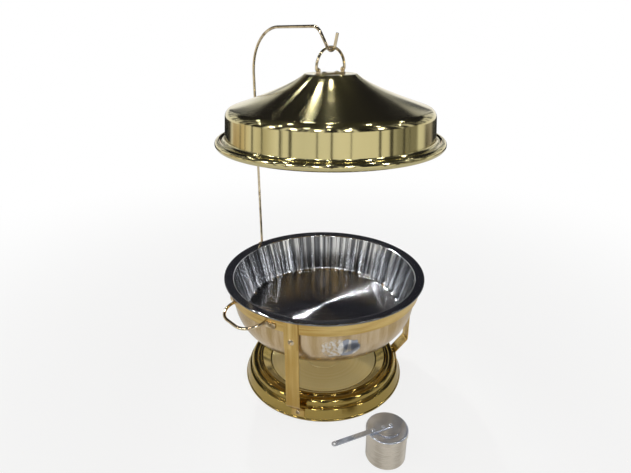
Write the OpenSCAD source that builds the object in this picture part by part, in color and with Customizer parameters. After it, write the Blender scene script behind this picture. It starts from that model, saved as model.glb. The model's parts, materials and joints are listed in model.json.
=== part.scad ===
/* [Food pan] */
// Radius of the food pan's opening
pan_bore_r = 172.5; // [150:0.5:190]
// Width of the flange round the opening
flange_w = 17.5; // [14:0.5:24]
// Rise of the flange towards its outer edge
flange_rise = 3; // [1:0.5:4]
// Depth of the food pan
pan_depth = 78; // [60:1:84]
// Radius of the food pan's flat floor, inside
pan_floor_r = 146; // [130:1:152]
// Height of the food pan's top over the table
pan_top_z = 228; // [218:1:248]
// Thickness of the pans' steel sheet
pan_t = 1; // [0.8:0.1:1.4]
// Height of the turned-down edge of the flange
lip_h = 3; // [2:0.5:4]

/* [Water pan] */
// Depth of the water pan
water_depth = 116; // [100:1:125]
// Radius of the water pan's flat floor
water_floor_r = 105; // [80:1:120]
// Room between the two pans at their tops
pan_gap = 4; // [3:0.5:6]
// Width of the water pan's rim
water_rim_w = 8; // [7:0.5:10]

/* [Base] */
// Radius of the base at the table
base_r = 160; // [145:1:175]
// Height of the base's rolled rim
base_h = 37; // [34:1:42]
// Height of the plain skirt under the roll
skirt_h = 22; // [20:1:24]
// Width of the rolled rim, down to its inner bead
rim_w = 20.5; // [18:0.5:24]
// Radius of the flat burner disc
disc_r = 109; // [95:1:114]
// Depth of the disc under the rolled rim
disc_drop = 12; // [8:1:16]
// Room between the burner's cup and the raised ring that centres it
seat_room = 3; // [2:0.5:8]
// Thickness of the base's and lid's sheet
sheet_t = 1.2; // [1:0.1:1.5]

/* [Frame] */
// Height of the support ring's band
ring_h = 24; // [20:1:30]
// Thickness of the support ring's band
ring_t = 2; // [1.5:0.1:3]
// Room between the water pan and the support ring
ring_gap = 2; // [1.5:0.1:3]
// Width of the strap legs
leg_w = 25; // [20:1:32]
// Thickness of the strap legs
leg_t = 2.5; // [2:0.1:3.5]
// Height at which a leg bends in to the base
knee_z = 48; // [44:1:60]
// Length of the tab that hangs under the ring over each leg
tab_drop = 30; // [26:1:36]
// Diameter of the frame's screws
screw_d = 5; // [4:0.5:6]
// Diameter of the frame's rivets
rivet_d = 4; // [3:0.5:5]

/* [Side handles] */
// Diameter of the handle wire
handle_d = 5.5; // [4:0.5:7]
// Distance between the two arms of a handle
handle_w = 88; // [76:1:100]
// Reach of a handle from the ring
handle_reach = 37; // [37:1:48]
// Radius of a handle's corners
handle_bend = 32; // [20:1:34]
// Angle by which the handles droop
handle_droop = 10; // [5:1:20]

/* [Lid] */
// Overhang of the lid's rim past the flange
lid_over = 3; // [2:0.5:6]
// Height of the hanging lid over the food pan
lid_lift = 246; // [230:1:270]
// Height of the lid
lid_h = 113; // [105:1:125]
// Radius of the lid's upright band
lid_band_r = 176; // [160:1:180]
// Height of the lid's upright band
lid_band_h = 43; // [35:1:50]
// Radius of the lid's flat top
lid_top_r = 43; // [38:1:50]
// Radius of the lid's rolled bead
lid_bead = 6.5; // [3.5:0.5:7]

/* [Bail] */
// Diameter of the bail wire
bail_d = 4.5; // [4:0.5:5]
// Radius of the bail's arch
bail_r = 31; // [28:1:36]
// Height of the bail's pivot over the bracket
pivot_h = 3.5; // [3:0.5:6]

/* [Hanger] */
// Diameter of the hanger rod
rod_d = 5; // [5:0.5:8]
// Room between the lid's rim and the rod when the lid is on the pan
post_gap = 7.5; // [5:0.5:12]
// Offset of the hook from the middle, towards the front
hook_front = 12; // [0:1:20]
// Rise of the hanger's arm over the hook
arm_rise = 35.5; // [30:0.5:45]
// Radius of the bend from the post to the arm
arm_bend_r = 80; // [40:1:90]
// Radius of the hook's bend
hook_r = 9; // [8:0.5:11]
// Length of the hook's free end
tip_len = 38; // [34:1:44]
// Depth of the rod in its socket
socket_depth = 50; // [40:1:60]

/* [Burner] */
// Radius of the burner's cup
burner_r = 33; // [30:0.5:35]
// Height of the burner's cup
burner_h = 58; // [50:1:70]
// Radius of the flame opening
flame_r = 18; // [14:0.5:20]
// Length of the cover's handle past the cup
burner_handle_l = 66; // [50:1:80]
// Place of the burner to the left of the middle
burner_left = 80; // [60:1:100]
// Place of the burner in front of the middle
burner_front = 238; // [230:1:260]

/* [Hidden] */
$fn = 96;

gold = [0.83, 0.69, 0.40];
steel = [0.78, 0.79, 0.80];
seat_gap = 0.3;
hole_gap = 0.1;
run_gap = 0.05;
arc_steps = 5;
cut = 1;

// Pans and ring, from the opening outwards; the water pan's rim lies along the flange
pan_r = pan_bore_r + flange_w;
neck_r = pan_bore_r + pan_t + pan_gap;
ring_r = neck_r + ring_gap + ring_t;
flange_a = atan(flange_rise / flange_w);
under_flange = (pan_t + seat_gap) / cos(flange_a);
function flange_z(r) = pan_top_z - flange_rise * (pan_r - r) / flange_w;
function rim_z(r) = flange_z(r) - under_flange;
water_top = rim_z(neck_r);
ring_top = rim_z(ring_r - ring_t) - under_flange;
ring_low = ring_top - ring_h;
pan_corner_r = 10;
neck_step = 4.5;
neck_h = 38;
bowl_r = neck_r - neck_step;
bowl_top = water_top - neck_h;
water_low = water_top - water_depth;

// Base: a skirt on a flattened foot bead, a roll, a groove, a bead and the sunk disc
foot_bead = 2.5;
foot_flat = 0.4;
foot_z = foot_bead - foot_flat;
skirt_in = 5;
function skirt_r(z) = base_r - foot_bead - skirt_in * (z - foot_z) / (skirt_h - foot_z);
skirt_tilt = atan(skirt_in / (skirt_h - foot_z));
roll_in = 5;
roll_r = skirt_r(skirt_h) - roll_in;
ledge_rise = 1.5;
bead_r = roll_r - rim_w;
bead_half = 2;
bead_drop = 0.5;
groove_r = bead_r + bead_half;
groove_w = 5;
groove_d = 3.5;
groove_slope = 0.75;
disc_z = base_h - disc_drop;
skirt_bend = 2;
roll_bend = 7;
groove_bend = 4;
bead_bend = 1.5;
disc_bend = 6;
seat_ring_r = burner_r + seat_room;
seat_ring_w = 3;
seat_ring_h = 1.2;

// Legs, and the tabs that hang from the ring over their tops
leg_angles = [-150, -30, 90];
leg_in_r = ring_r - leg_t;
leg_gap = 0.5;
leg_top = ring_low - leg_gap;
knee_bend = 10;
ankle_bend = 6;
ankle_drop = 3;
ankle_z = skirt_h - ankle_drop;
toe_gap = 2;
toe_z = foot_z + foot_bead + toe_gap;
tab_inset = 3;
tab_low = ring_low - tab_drop;
tab_top = ring_top - tab_inset;
tab_out_r = ring_r + leg_t;
screw_up = 14;
screw_z = tab_low + screw_up;
foot_rivet_z = (ankle_z + toe_z) / 2;
nut_h = 2.6;
nut_d = screw_d + 3.6;
head_d = screw_d + 6;
head_h = 2.6;
recess_d = screw_d - 0.5;
recess_h = 1.6;
rivet_head_h = 1.6;
back_head_h = 1;
head_gap = 0.1;

// Side handles
handle_up = 7;
handle_z = ring_low + handle_up;
handle_tab_l = 22;
handle_tab_h = 10;
handle_tab_t = 2.2;
handle_tab_out = 1;
arm_x = sqrt(ring_r * ring_r - handle_w * handle_w / 4);
handle_tab_a = asin((handle_w / 2 + handle_tab_l / 2 + handle_tab_out) / ring_r);

// Lid
lid_r = pan_r + lid_over;
lid_low = pan_top_z + lid_lift;
lid_top = lid_low + lid_h;
lid_y = -hook_front;
flare_h = 14;
flare_out = 5;
flare_drop = 4;
bead_x = lid_r - lid_bead;
bead_z = lid_low + lid_bead;
bead_slit = 3;
flare_bend = 5;
band_bend = 3;
band_taper = 3.5;
band_z = lid_low + flare_h;
shoulder_rise = 2;
shoulder_bend = 14;
shoulder_z = band_z + lid_band_h + shoulder_rise;
cone_in = 12;
cone_up = 4;
cone_hollow = 35;
cone_lift = 0.62;
top_edge = 1;
cone_steps = 10;

// Bracket and bail on the lid
strip_t = 2;
strip_w = 14;
ear_t = 2;
ear_wall = 2;
ear_gap = 0.6;
ear_out = bail_r - bail_d / 2 - ear_gap;
pivot_z = lid_top + strip_t + pivot_h;
stub_past = 3;
stub_in = ear_out - ear_t - stub_past;
stub_bend = 2.6;
bail_straight = 0.5;
bail_top = pivot_z + stub_bend + bail_straight + bail_r;
bail_rivet_x = 14;

// Hanger, hook and socket
hook_z = bail_top - (bail_d + rod_d) / 2 - seat_gap;
arm_z = hook_z + arm_rise;
post_y = lid_r + post_gap + rod_d / 2;
elbow_r = 24;
arm_side = [0.6, 0.8];
tip_side = [-0.28, 0.96];
hook_half = acos(arm_side * tip_side) / 2;
hook_corner = [lid_y, hook_z + hook_r] - unit(arm_side + tip_side) * hook_r / sin(hook_half);
elbow_y = hook_corner[0] + (arm_z - hook_corner[1]) * arm_side[0] / arm_side[1];
socket_wall = 2;
socket_base = 4;
socket_drop = 6;
socket_bore_r = rod_d / 2 + run_gap;
socket_r = socket_bore_r + socket_wall;
socket_top = ring_top - socket_drop;
rod_low = socket_top - socket_depth;
socket_low = rod_low - seat_gap - socket_base;
lug_h = 6;
lug_wall = 3;
plate_up = 1;
plate_low = tab_low + plate_up;
plate_top = socket_top;
plate_out = tab_out_r + leg_t;
bracket_rivet_z = (ring_low + plate_top - lug_h) / 2;

// Burner
burner_a = 161;
burner_t = 1;
burner_corner = 3;
deck_t = 1.5;
deck_skirt = 7;
deck_r = burner_r + deck_t;
deck_top = burner_h + deck_t;
pin_d = 4;
pin_in = 6;
pin_x = burner_r - pin_in;
cover_t = 1.5;
cover_lap = 4;
cover_r = flame_r + cover_lap;
lug_r = 5;
hang_hole_d = 4;
snuffer_rivet_d = 3;
cover_z = deck_top + seat_gap;
handle_strap_w = 9;
handle_strap_t = 1.5;
handle_end = burner_r + burner_handle_l;
snuffer_rivet_x = [-6, 8];

function unit(v) = v / norm(v);
function left(v) = [-v[1], v[0]];
function flat(p) = [p[0], p[1]];

// Corner i of a path of [x, y, radius]: centre, first angle and sweep of its arc, and the run it uses
function bend(path, i) =
    let (
        p = flat(path[i]),
        u = unit(flat(path[i - 1]) - p),
        v = unit(flat(path[i + 1]) - p),
        half = acos(u * v) / 2,
        r = path[i][2],
        c = p + unit(u + v) * r / sin(half),
        run = r / tan(half),
        s = p + u * run - c,
        turn = sign(u[1] * v[0] - u[0] * v[1]),
        sweep = turn * (180 - 2 * half)
    )
    [c, atan2(s[1], s[0]), sweep, run];

function arc_points(b, r) =
    [for (k = [0:arc_steps]) let (a = b[1] + b[2] * k / arc_steps) b[0] + r * [cos(a), sin(a)]];

// A path with its corners rounded to the radius that each one gives
function rounded(path) =
    [for (i = [0:len(path) - 1])
        each (path[i][2] > 0 ? arc_points(bend(path, i), path[i][2]) : [flat(path[i])])];

// A path moved to its left by t
function beside(path, t) =
    let (last = len(path) - 1)
    [for (i = [0:last])
        let (
            n0 = left(unit(path[max(i, 1)] - path[max(i, 1) - 1])),
            n1 = left(unit(path[min(i, last - 1) + 1] - path[min(i, last - 1)]))
        )
        path[i] + t * (n0 + n1) / (1 + n0 * n1)];

function backwards(path) = [for (i = [len(path) - 1:-1:0]) path[i]];
function sheet(path, t) = concat(path, backwards(beside(path, t)));
function curve(a, b, c, n) =
    [for (k = [0:n]) let (t = k / n) (1 - t) * (1 - t) * a + 2 * t * (1 - t) * b + t * t * c];

// Sheet metal spun round the middle, from its outer edge to the axis
module spun(path, t) {
    rotate_extrude() polygon(sheet(path, t));
}

// Flat strap bent along a side path and standing on the +X side
module strap(path, t, w) {
    rotate([90, 0, 0]) linear_extrude(height = w, center = true) polygon(sheet(path, t));
}

// Bend of wire that starts at the origin along +X and turns left, cut from whole quarters of a ring
module wire_bend(r, angle, d) {
    whole = 90 * ceil(angle / 90 - 0.001);
    translate([0, r, 0]) difference() {
        rotate([0, 0, -90]) rotate_extrude(angle = whole) translate([r, 0]) circle(d = d);
        if (whole - angle > 0.01)
            rotate([0, 0, angle]) translate([0, -2 * r, -d]) cube([2 * r, 2 * r, 2 * d]);
    }
}

// The wire's runs from corner i on, drawn from the origin along +X
module runs(path, d, i) {
    last = i == len(path) - 2;
    start = i == 0 ? 0 : bend(path, i)[3];
    finish = last ? 0 : bend(path, i + 1)[3];
    long = norm(flat(path[i + 1]) - flat(path[i])) - start - finish;
    bar(d, 0, long);
    if (!last) {
        r = path[i + 1][2];
        turn = bend(path, i + 1)[2];
        side = sign(turn);
        translate([long, 0, 0]) {
            mirror([0, side < 0 ? 1 : 0, 0]) wire_bend(r, abs(turn), d);
            translate([0, side * r, 0]) rotate([0, 0, turn]) translate([0, -side * r, 0])
                runs(path, d, i + 1);
        }
    }
}

// Round wire along a flat path with its corners bent to their radius
module wire(path, d) {
    dir = flat(path[1]) - flat(path[0]);
    translate(flat(path[0])) rotate([0, 0, atan2(dir[1], dir[0])]) runs(path, d, 0);
}

// Cylinder along +X from x0 to x1
module bar(d, x0, x1) {
    translate([x0, 0, 0]) rotate([0, 90, 0]) cylinder(d = d, h = x1 - x0);
}

// Domed head on the +X side of x0
module dome(d, h, x0) {
    r = (d * d / 4 + h * h) / (2 * h);
    translate([x0, 0, 0]) rotate([0, 90, 0]) intersection() {
        translate([0, 0, h - r]) sphere(r = r);
        cylinder(d = d, h = h);
    }
}

// Rivet along X through the sheets between x0 and x1, with its domed head on the +X side
module rivet(d, x0, x1, back) {
    tail = back > 0 ? x0 - head_gap : x0;
    bar(d, tail, x1);
    dome(2 * d, rivet_head_h, x1);
    if (back > 0) bar(2 * d, tail - back, tail);
}

// Where a leg's foot rivet stands: square to the sloping skirt
module at_foot() {
    translate([skirt_r(foot_rivet_z), 0, foot_rivet_z]) rotate([0, -skirt_tilt, 0]) children();
}

module base_dish() {
    path = [
        [base_r - foot_bead, foot_z, 0],
        [skirt_r(skirt_h), skirt_h, skirt_bend],
        [roll_r, skirt_h + ledge_rise, 0],
        [roll_r, base_h, roll_bend],
        [groove_r + groove_w, base_h, groove_bend],
        [groove_r + groove_w - groove_slope, base_h - groove_d, 0],
        [groove_r + groove_slope, base_h - groove_d, 0],
        [groove_r, base_h - bead_drop, bead_bend],
        [bead_r - bead_half, base_h - bead_drop, bead_bend],
        [disc_r, disc_z, disc_bend],
        [seat_ring_r + seat_ring_w, disc_z, 0],
        [seat_ring_r + seat_ring_w - seat_ring_h, disc_z + seat_ring_h, 0],
        [seat_ring_r + seat_ring_h, disc_z + seat_ring_h, 0],
        [seat_ring_r, disc_z, 0],
        [0, disc_z, 0]
    ];
    color(gold) difference() {
        union() {
            spun(rounded(path), sheet_t);
            rotate_extrude() translate([base_r - foot_bead, foot_z]) circle(r = foot_bead);
        }
        translate([0, 0, -foot_bead]) cylinder(r = base_r + cut, h = foot_bead);
        for (a = leg_angles)
            rotate([0, 0, a]) at_foot() bar(rivet_d + 2 * hole_gap, -3 * sheet_t, sheet_t);
    }
}

// One strap leg, standing on the +X side
module leg() {
    path = [
        [leg_in_r, leg_top, 0],
        [leg_in_r, knee_z, knee_bend],
        [skirt_r(ankle_z), ankle_z, ankle_bend],
        [skirt_r(toe_z), toe_z, 0]
    ];
    color(gold) difference() {
        strap(rounded(path), leg_t, leg_w);
        translate([0, 0, screw_z]) bar(screw_d + 2 * hole_gap, leg_in_r - cut, ring_r + cut);
        at_foot() bar(rivet_d + 2 * hole_gap, -cut, leg_t + cut);
    }
}

module leg_left() rotate([0, 0, leg_angles[0]]) leg();
module leg_right() rotate([0, 0, leg_angles[1]]) leg();
module leg_rear() rotate([0, 0, leg_angles[2]]) leg();

module leg_foot_rivets() {
    color(gold) for (a = leg_angles)
        rotate([0, 0, a]) at_foot() rivet(rivet_d, -sheet_t, leg_t, back_head_h);
}

// Handle rivet places, as angles round the ring
module each_handle_rivet() {
    for (side = [0, 180], a = [-handle_tab_a, handle_tab_a])
        rotate([0, 0, side + a]) translate([0, 0, handle_z]) children();
}

module support_ring() {
    color(gold) difference() {
        translate([0, 0, ring_low]) cylinder(r = ring_r, h = ring_h);
        translate([0, 0, ring_low - cut]) cylinder(r = ring_r - ring_t, h = ring_h + 2 * cut);
        each_handle_rivet() bar(rivet_d + 2 * hole_gap, ring_r - 2 * ring_t, ring_r + ring_t);
        rotate([0, 0, leg_angles[2]]) translate([0, 0, bracket_rivet_z])
            bar(rivet_d + 2 * hole_gap, ring_r - 2 * ring_t, ring_r + ring_t);
    }
}

module ring_tabs() {
    color(gold) for (a = leg_angles) rotate([0, 0, a]) difference() {
        translate([ring_r, -leg_w / 2, tab_low]) cube([leg_t, leg_w, tab_top - tab_low]);
        translate([0, 0, screw_z]) bar(screw_d + 2 * hole_gap, ring_r - cut, tab_out_r + cut);
        if (a == leg_angles[2])
            translate([0, 0, bracket_rivet_z]) bar(rivet_d + 2 * hole_gap, ring_r - cut, tab_out_r + cut);
    }
}

module leg_screws() {
    color(gold) for (a = leg_angles) rotate([0, 0, a]) translate([0, 0, screw_z]) {
        out = a == leg_angles[2] ? plate_out : tab_out_r;
        bar(screw_d, leg_in_r - nut_h, out);
        difference() {
            dome(head_d, head_h, out);
            bar(recess_d, out + head_h - recess_h, out + head_h + cut);
        }
    }
}

module leg_nuts() {
    color(steel) for (a = leg_angles) rotate([0, 0, a]) translate([leg_in_r - nut_h, 0, screw_z])
        rotate([0, 90, 0]) difference() {
            cylinder(d = nut_d, h = nut_h, $fn = 6);
            translate([0, 0, -cut]) cylinder(d = screw_d + hole_gap, h = nut_h + 2 * cut);
        }
}

// One D-shaped handle of wire with flattened ends, on the +X side
module side_handle() {
    path = [
        [-handle_d, -handle_w / 2, 0],
        [handle_reach, -handle_w / 2, handle_bend],
        [handle_reach, handle_w / 2, handle_bend],
        [-handle_d, handle_w / 2, 0]
    ];
    color(gold) difference() {
        union() {
            translate([arm_x, 0, handle_z]) rotate([0, handle_droop, 0]) wire(path, handle_d);
            for (s = [-1, 1]) rotate([0, 0, s * handle_tab_a])
                translate([ring_r - ring_t, -handle_tab_l / 2, handle_z - handle_tab_h / 2])
                    cube([ring_t + handle_tab_t, handle_tab_l, handle_tab_h]);
        }
        translate([0, 0, ring_low - ring_h]) cylinder(r = ring_r, h = 3 * ring_h);
        for (s = [-1, 1]) rotate([0, 0, s * handle_tab_a]) translate([0, 0, handle_z])
            bar(rivet_d + 2 * hole_gap, ring_r - cut, ring_r + handle_tab_t + cut);
    }
}

module handle_right() side_handle();
module handle_left() rotate([0, 0, 180]) side_handle();

module handle_rivets() {
    color(gold) each_handle_rivet() rivet(rivet_d, ring_r - ring_t, ring_r + handle_tab_t, back_head_h);
}

// Plate with two eyes that carries the hanger's socket on the rear leg
module hanger_bracket() {
    lug_r = socket_r + lug_wall;
    color(gold) rotate([0, 0, leg_angles[2]]) difference() {
        union() {
            translate([tab_out_r, -leg_w / 2, plate_low]) cube([leg_t, leg_w, plate_top - plate_low]);
            for (z = [plate_low, plate_top - lug_h]) {
                translate([plate_out - cut, -lug_r, z]) cube([post_y - plate_out + cut, 2 * lug_r, lug_h]);
                translate([post_y, 0, z]) cylinder(r = lug_r, h = lug_h);
            }
        }
        translate([post_y, 0, plate_low - cut]) cylinder(r = socket_r, h = plate_top - plate_low + 2 * cut);
        translate([0, 0, screw_z]) bar(screw_d + 2 * hole_gap, tab_out_r - cut, plate_out + cut);
        translate([0, 0, bracket_rivet_z]) bar(rivet_d + 2 * hole_gap, tab_out_r - cut, plate_out + cut);
    }
}

module hanger_socket() {
    color(gold) translate([0, post_y, 0]) difference() {
        translate([0, 0, socket_low]) cylinder(r = socket_r, h = socket_top - socket_low);
        translate([0, 0, socket_low + socket_base]) cylinder(r = socket_bore_r, h = socket_depth + 2 * cut);
    }
}

module bracket_rivet() {
    color(gold) rotate([0, 0, leg_angles[2]]) translate([0, 0, bracket_rivet_z])
        rivet(rivet_d, ring_r - ring_t, plate_out, back_head_h);
}

module water_pan() {
    steps = 10;
    edge_r = neck_r + water_rim_w;
    turn_r = neck_r - 1.5 * pan_t;
    bowl = [for (k = [0:steps]) let (a = 90 * k / steps)
        [water_floor_r + (bowl_r - water_floor_r) * cos(a), bowl_top - (bowl_top - water_low) * sin(a)]];
    rim = [
        [edge_r, rim_z(edge_r), 0],
        [turn_r, rim_z(turn_r), 2.5 * pan_t],
        [bowl_r, bowl_top, 0]
    ];
    inner = concat([for (i = [0:arc_steps + 1]) rounded(rim)[i]], bowl, [[0, water_low]]);
    color(steel) spun(inner, pan_t);
}

module food_pan() {
    path = [
        [pan_r, pan_top_z - lip_h, 0],
        [pan_r, pan_top_z, 1.5 * pan_t],
        [pan_bore_r, flange_z(pan_bore_r), 2 * pan_t],
        [pan_floor_r + pan_corner_r / 2, pan_top_z - pan_depth, pan_corner_r],
        [0, pan_top_z - pan_depth, 0]
    ];
    color(steel) spun(rounded(path), pan_t);
}

// Rod that stands in the socket, arches over the pans and ends in a hook with a steep free end
module hanger_rod() {
    path = [
        [post_y, rod_low, 0],
        [post_y, arm_z, arm_bend_r],
        [elbow_y, arm_z, elbow_r],
        [hook_corner[0], hook_corner[1], hook_r],
        [hook_corner[0] + tip_len * tip_side[0], hook_corner[1] + tip_len * tip_side[1], 0]
    ];
    color(gold) rotate([90, 0, 90]) wire(path, rod_d);
}

module lid_shell() {
    cone_start = [lid_band_r - band_taper - cone_in, shoulder_z + cone_up];
    cone_end = [lid_top_r + top_edge, lid_top - top_edge];
    cone_mid = [
        (lid_top_r + cone_start[0]) / 2 - cone_hollow,
        cone_start[1] + cone_lift * (cone_end[1] - cone_start[1])
    ];
    side = rounded([
        [bead_x, bead_z + lid_bead - sheet_t / 2, 0],
        [lid_band_r + flare_out, band_z - flare_drop, flare_bend],
        [lid_band_r, band_z, band_bend],
        [lid_band_r - band_taper, shoulder_z, shoulder_bend],
        [cone_start[0], cone_start[1], 0]
    ]);
    cone = curve(cone_start, cone_mid, cone_end, cone_steps);
    path = concat(side, [for (i = [1:cone_steps]) cone[i]], [[lid_top_r, lid_top], [0, lid_top]]);
    color(gold) translate([0, lid_y, 0]) difference() {
        union() {
            spun(path, sheet_t);
            rotate_extrude() translate([bead_x, bead_z]) circle(r = lid_bead);
        }
        rotate_extrude() translate([bead_x, bead_z]) circle(r = lid_bead - sheet_t);
        rotate_extrude() translate([bead_x - lid_bead - cut, bead_z - bead_slit])
            square([lid_bead, bead_slit]);
        for (s = [-1, 1]) translate([s * bail_rivet_x, 0, lid_top - 2 * sheet_t])
            cylinder(d = rivet_d + 2 * hole_gap, h = 3 * sheet_t);
    }
}

// Strip on the lid's flat top, with an ear at each end for the bail
module bail_bracket() {
    ear_r = bail_d / 2 + ear_wall;
    color(gold) translate([0, lid_y, lid_top]) difference() {
        union() {
            translate([-ear_out, -strip_w / 2, 0]) cube([2 * ear_out, strip_w, strip_t]);
            for (s = [-1, 1]) translate([s > 0 ? ear_out - ear_t : -ear_out, 0, 0]) {
                translate([0, -ear_r, 0]) cube([ear_t, 2 * ear_r, strip_t + pivot_h]);
                translate([0, 0, strip_t + pivot_h]) bar(2 * ear_r, 0, ear_t);
            }
        }
        translate([0, 0, strip_t + pivot_h]) bar(bail_d + 2 * run_gap, -ear_out - cut, ear_out + cut);
        for (s = [-1, 1]) translate([s * bail_rivet_x, 0, -cut])
            cylinder(d = rivet_d + 2 * hole_gap, h = strip_t + 2 * cut);
    }
}

module bail_rivets() {
    color(gold) for (s = [-1, 1]) translate([s * bail_rivet_x, lid_y, lid_top - sheet_t])
        rotate([0, -90, 0]) rivet(rivet_d, 0, sheet_t + strip_t, back_head_h);
}

// Wire arch with its ends turned in through the bracket's ears
module lid_bail() {
    path = [
        [-stub_in, pivot_z, 0],
        [-bail_r, pivot_z, stub_bend],
        [-bail_r, bail_top, bail_r - bail_straight],
        [bail_r, bail_top, bail_r - bail_straight],
        [bail_r, pivot_z, stub_bend],
        [stub_in, pivot_z, 0]
    ];
    color(gold) translate([0, lid_y, 0]) rotate([90, 0, 0]) wire(path, bail_d);
}

// Places a child modelled round the burner's middle, with its handle along +X
module at_burner() {
    translate([-burner_left, -burner_front, 0]) rotate([0, 0, burner_a]) children();
}

module burner_cup() {
    path = [
        [burner_r, burner_h, 0],
        [burner_r, 0, burner_corner],
        [0, 0, 0]
    ];
    color(steel) at_burner() spun(rounded(path), -burner_t);
}

// Cap of the cup with the flame opening
module burner_deck() {
    color(steel) at_burner() difference() {
        translate([0, 0, burner_h - deck_skirt]) cylinder(r = deck_r, h = deck_skirt + deck_t);
        translate([0, 0, burner_h - deck_skirt - cut])
            cylinder(r = burner_r + hole_gap, h = deck_skirt + cut);
        translate([0, 0, burner_h - cut]) cylinder(r = flame_r, h = deck_t + 2 * cut);
        translate([pin_x, 0, burner_h - cut]) cylinder(d = pin_d + hole_gap, h = deck_t + 2 * cut);
    }
}

module snuffer_pin() {
    over = cover_z + cover_t + handle_strap_t + seat_gap;
    color(steel) at_burner() translate([pin_x, 0, burner_h]) rotate([0, -90, 0])
        rivet(pin_d, 0, over - burner_h, back_head_h);
}

module snuffer_cover() {
    color(steel) at_burner() translate([0, 0, cover_z]) difference() {
        union() {
            cylinder(r = cover_r, h = cover_t);
            translate([0, -lug_r, 0]) cube([pin_x, 2 * lug_r, cover_t]);
            translate([pin_x, 0, 0]) cylinder(r = lug_r, h = cover_t);
        }
        translate([pin_x, 0, -cut]) cylinder(d = pin_d + 2 * run_gap, h = cover_t + 2 * cut);
        for (x = snuffer_rivet_x) translate([x, 0, -cut])
            cylinder(d = snuffer_rivet_d + hole_gap, h = cover_t + 2 * cut);
    }
}

// Strap along the cover and past the pin, with a hanging hole at its end
module snuffer_handle() {
    start = snuffer_rivet_x[0];
    color(steel) at_burner() translate([0, 0, cover_z + cover_t]) difference() {
        union() {
            translate([start, -handle_strap_w / 2, 0])
                cube([handle_end - handle_strap_w / 2 - start, handle_strap_w, handle_strap_t]);
            for (x = [start, handle_end - handle_strap_w / 2])
                translate([x, 0, 0]) cylinder(d = handle_strap_w, h = handle_strap_t);
        }
        translate([pin_x, 0, -cut]) cylinder(d = pin_d + 2 * run_gap, h = handle_strap_t + 2 * cut);
        translate([handle_end - handle_strap_w / 2, 0, -cut])
            cylinder(d = hang_hole_d, h = handle_strap_t + 2 * cut);
        for (x = snuffer_rivet_x) translate([x, 0, -cut])
            cylinder(d = snuffer_rivet_d + hole_gap, h = handle_strap_t + 2 * cut);
    }
}

module snuffer_rivets() {
    color(steel) at_burner() for (x = snuffer_rivet_x) translate([x, 0, cover_z])
        rotate([0, -90, 0]) rivet(snuffer_rivet_d, 0, cover_t + handle_strap_t, 0);
}

base_dish();
leg_left();
leg_right();
leg_rear();
leg_foot_rivets();
support_ring();
ring_tabs();
leg_screws();
leg_nuts();
handle_left();
handle_right();
handle_rivets();
hanger_bracket();
hanger_socket();
bracket_rivet();
water_pan();
food_pan();
hanger_rod();
lid_bail();
lid_shell();
bail_bracket();
bail_rivets();
burner_cup();
burner_deck();
snuffer_pin();
snuffer_cover();
snuffer_handle();
snuffer_rivets();
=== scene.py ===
import json
from math import acos, atan2, cos, degrees, pi, radians, sin, sqrt, tan

import bmesh
import bpy
from mathutils import Matrix, Vector


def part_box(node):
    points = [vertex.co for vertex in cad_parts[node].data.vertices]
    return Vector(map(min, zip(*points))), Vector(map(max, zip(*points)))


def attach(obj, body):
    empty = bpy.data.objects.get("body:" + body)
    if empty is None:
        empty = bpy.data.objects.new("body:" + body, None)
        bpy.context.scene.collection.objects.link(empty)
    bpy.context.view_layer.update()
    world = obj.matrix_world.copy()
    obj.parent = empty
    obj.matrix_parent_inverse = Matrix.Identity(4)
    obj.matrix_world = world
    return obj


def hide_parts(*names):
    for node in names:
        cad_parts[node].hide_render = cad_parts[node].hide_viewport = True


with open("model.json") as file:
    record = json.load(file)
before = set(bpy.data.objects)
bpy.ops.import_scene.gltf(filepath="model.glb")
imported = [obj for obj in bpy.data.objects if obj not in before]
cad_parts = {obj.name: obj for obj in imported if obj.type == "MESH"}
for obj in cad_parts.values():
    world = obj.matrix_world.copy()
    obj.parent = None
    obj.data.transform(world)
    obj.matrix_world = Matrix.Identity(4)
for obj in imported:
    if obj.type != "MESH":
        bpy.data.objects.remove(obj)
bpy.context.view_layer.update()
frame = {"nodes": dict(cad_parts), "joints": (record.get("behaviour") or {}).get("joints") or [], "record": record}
record = frame["record"]
bodyOf = {node: body for body, nodes in record["behaviour"]["bodies"].items() for node in nodes}
pivots = {joint["name"]: Vector(joint["pos_m"]) for joint in frame["joints"] if "pos_m" in joint}
mm = 0.001
tiny = 1e-6
up = Vector((0, 0, 1))


# a camera or lamp, held at a place and looking along a heading
def stand(thing, place, heading):
    thing.location = place
    thing.rotation_mode = "QUATERNION"
    thing.rotation_quaternion = Vector(heading).to_track_quat("-Z", "Y")
    bpy.context.scene.collection.objects.link(thing)


# camera, at the photograph's place and angle
cameraSet = {
    "place": (-0.5583, -0.5954, 0.645), "heading": (0.6155, 0.6835, -0.3923), "lens": 27.04, "sensor": 36,
}

camera = bpy.data.objects.new("camera", bpy.data.cameras.new("camera"))
camera.data.sensor_width = cameraSet["sensor"]
camera.data.lens = cameraSet["lens"]
stand(camera, cameraSet["place"], cameraSet["heading"])
bpy.context.scene.camera = camera
bpy.context.scene.view_settings.view_transform = "Standard"


# shader building: values that add their own Math nodes, and trees that take any other node
def feed(tree, socket, value):
    if isinstance(value, Flow):
        tree.links.new(value.socket, socket)
    elif socket.type == "RGBA" and len(value) == 3:
        socket.default_value = (*value, 1)
    else:
        socket.default_value = value


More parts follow.
